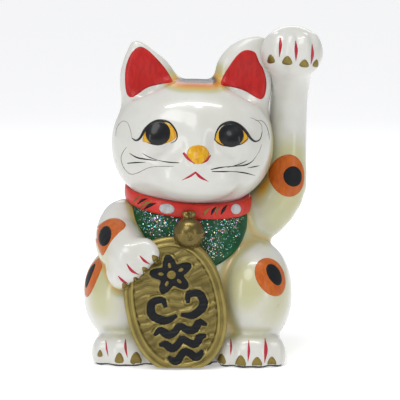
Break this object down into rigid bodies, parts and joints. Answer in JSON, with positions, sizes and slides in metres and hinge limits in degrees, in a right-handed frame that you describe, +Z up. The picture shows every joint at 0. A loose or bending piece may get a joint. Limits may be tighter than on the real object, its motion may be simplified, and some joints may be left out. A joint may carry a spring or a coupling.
{
  "type": "beckoning cat figurine",
  "caption": "Seated ceramic cat figurine with one paw raised, a collar with bib and bell, and an oval tablet held against its belly.",
  "frame": {"origin": "on the surface that the figurine stands on, below the middle of the neck", "axes": "+Z up, the cat looks along -Y, and its raised paw is on +X"},
  "size_m": [0.1725, 0.1315, 0.242],
  "materials": {
    "glazed_body": "pearl white glaze with painted toe lines, gold claws and orange and black spots",
    "glazed_head": "pearl white glaze with painted eyes, whiskers, nose and red ears",
    "glazed_raised_arm": "pearl white glaze with airbrushed yellow shading and a painted spot",
    "glazed_lowered_arm": "pearl white glaze with painted toe lines, gold claws and a spot",
    "collar_enamel": "glossy red enamel with pale dots and slanted gold and black dashes",
    "glitter_bib": "green lacquer with coloured glitter flakes",
    "gold_paint": "satin antique gold paint",
    "tablet_gold": "satin antique gold paint over fine ridges, with black raised ornament",
    "felt": "dark pressed felt"
  },
  "bodies": {
    "root": {"body_casting": "glazed_body", "head_casting": "glazed_head", "raised_arm": "glazed_raised_arm", "lowered_arm": "glazed_lowered_arm", "collar_band": "collar_enamel", "bib": "glitter_bib", "bell_ball": "gold_paint", "bell_loop": "gold_paint", "coin_tablet": "tablet_gold", "base_pad": "felt"}
  },
  "joints": []
}
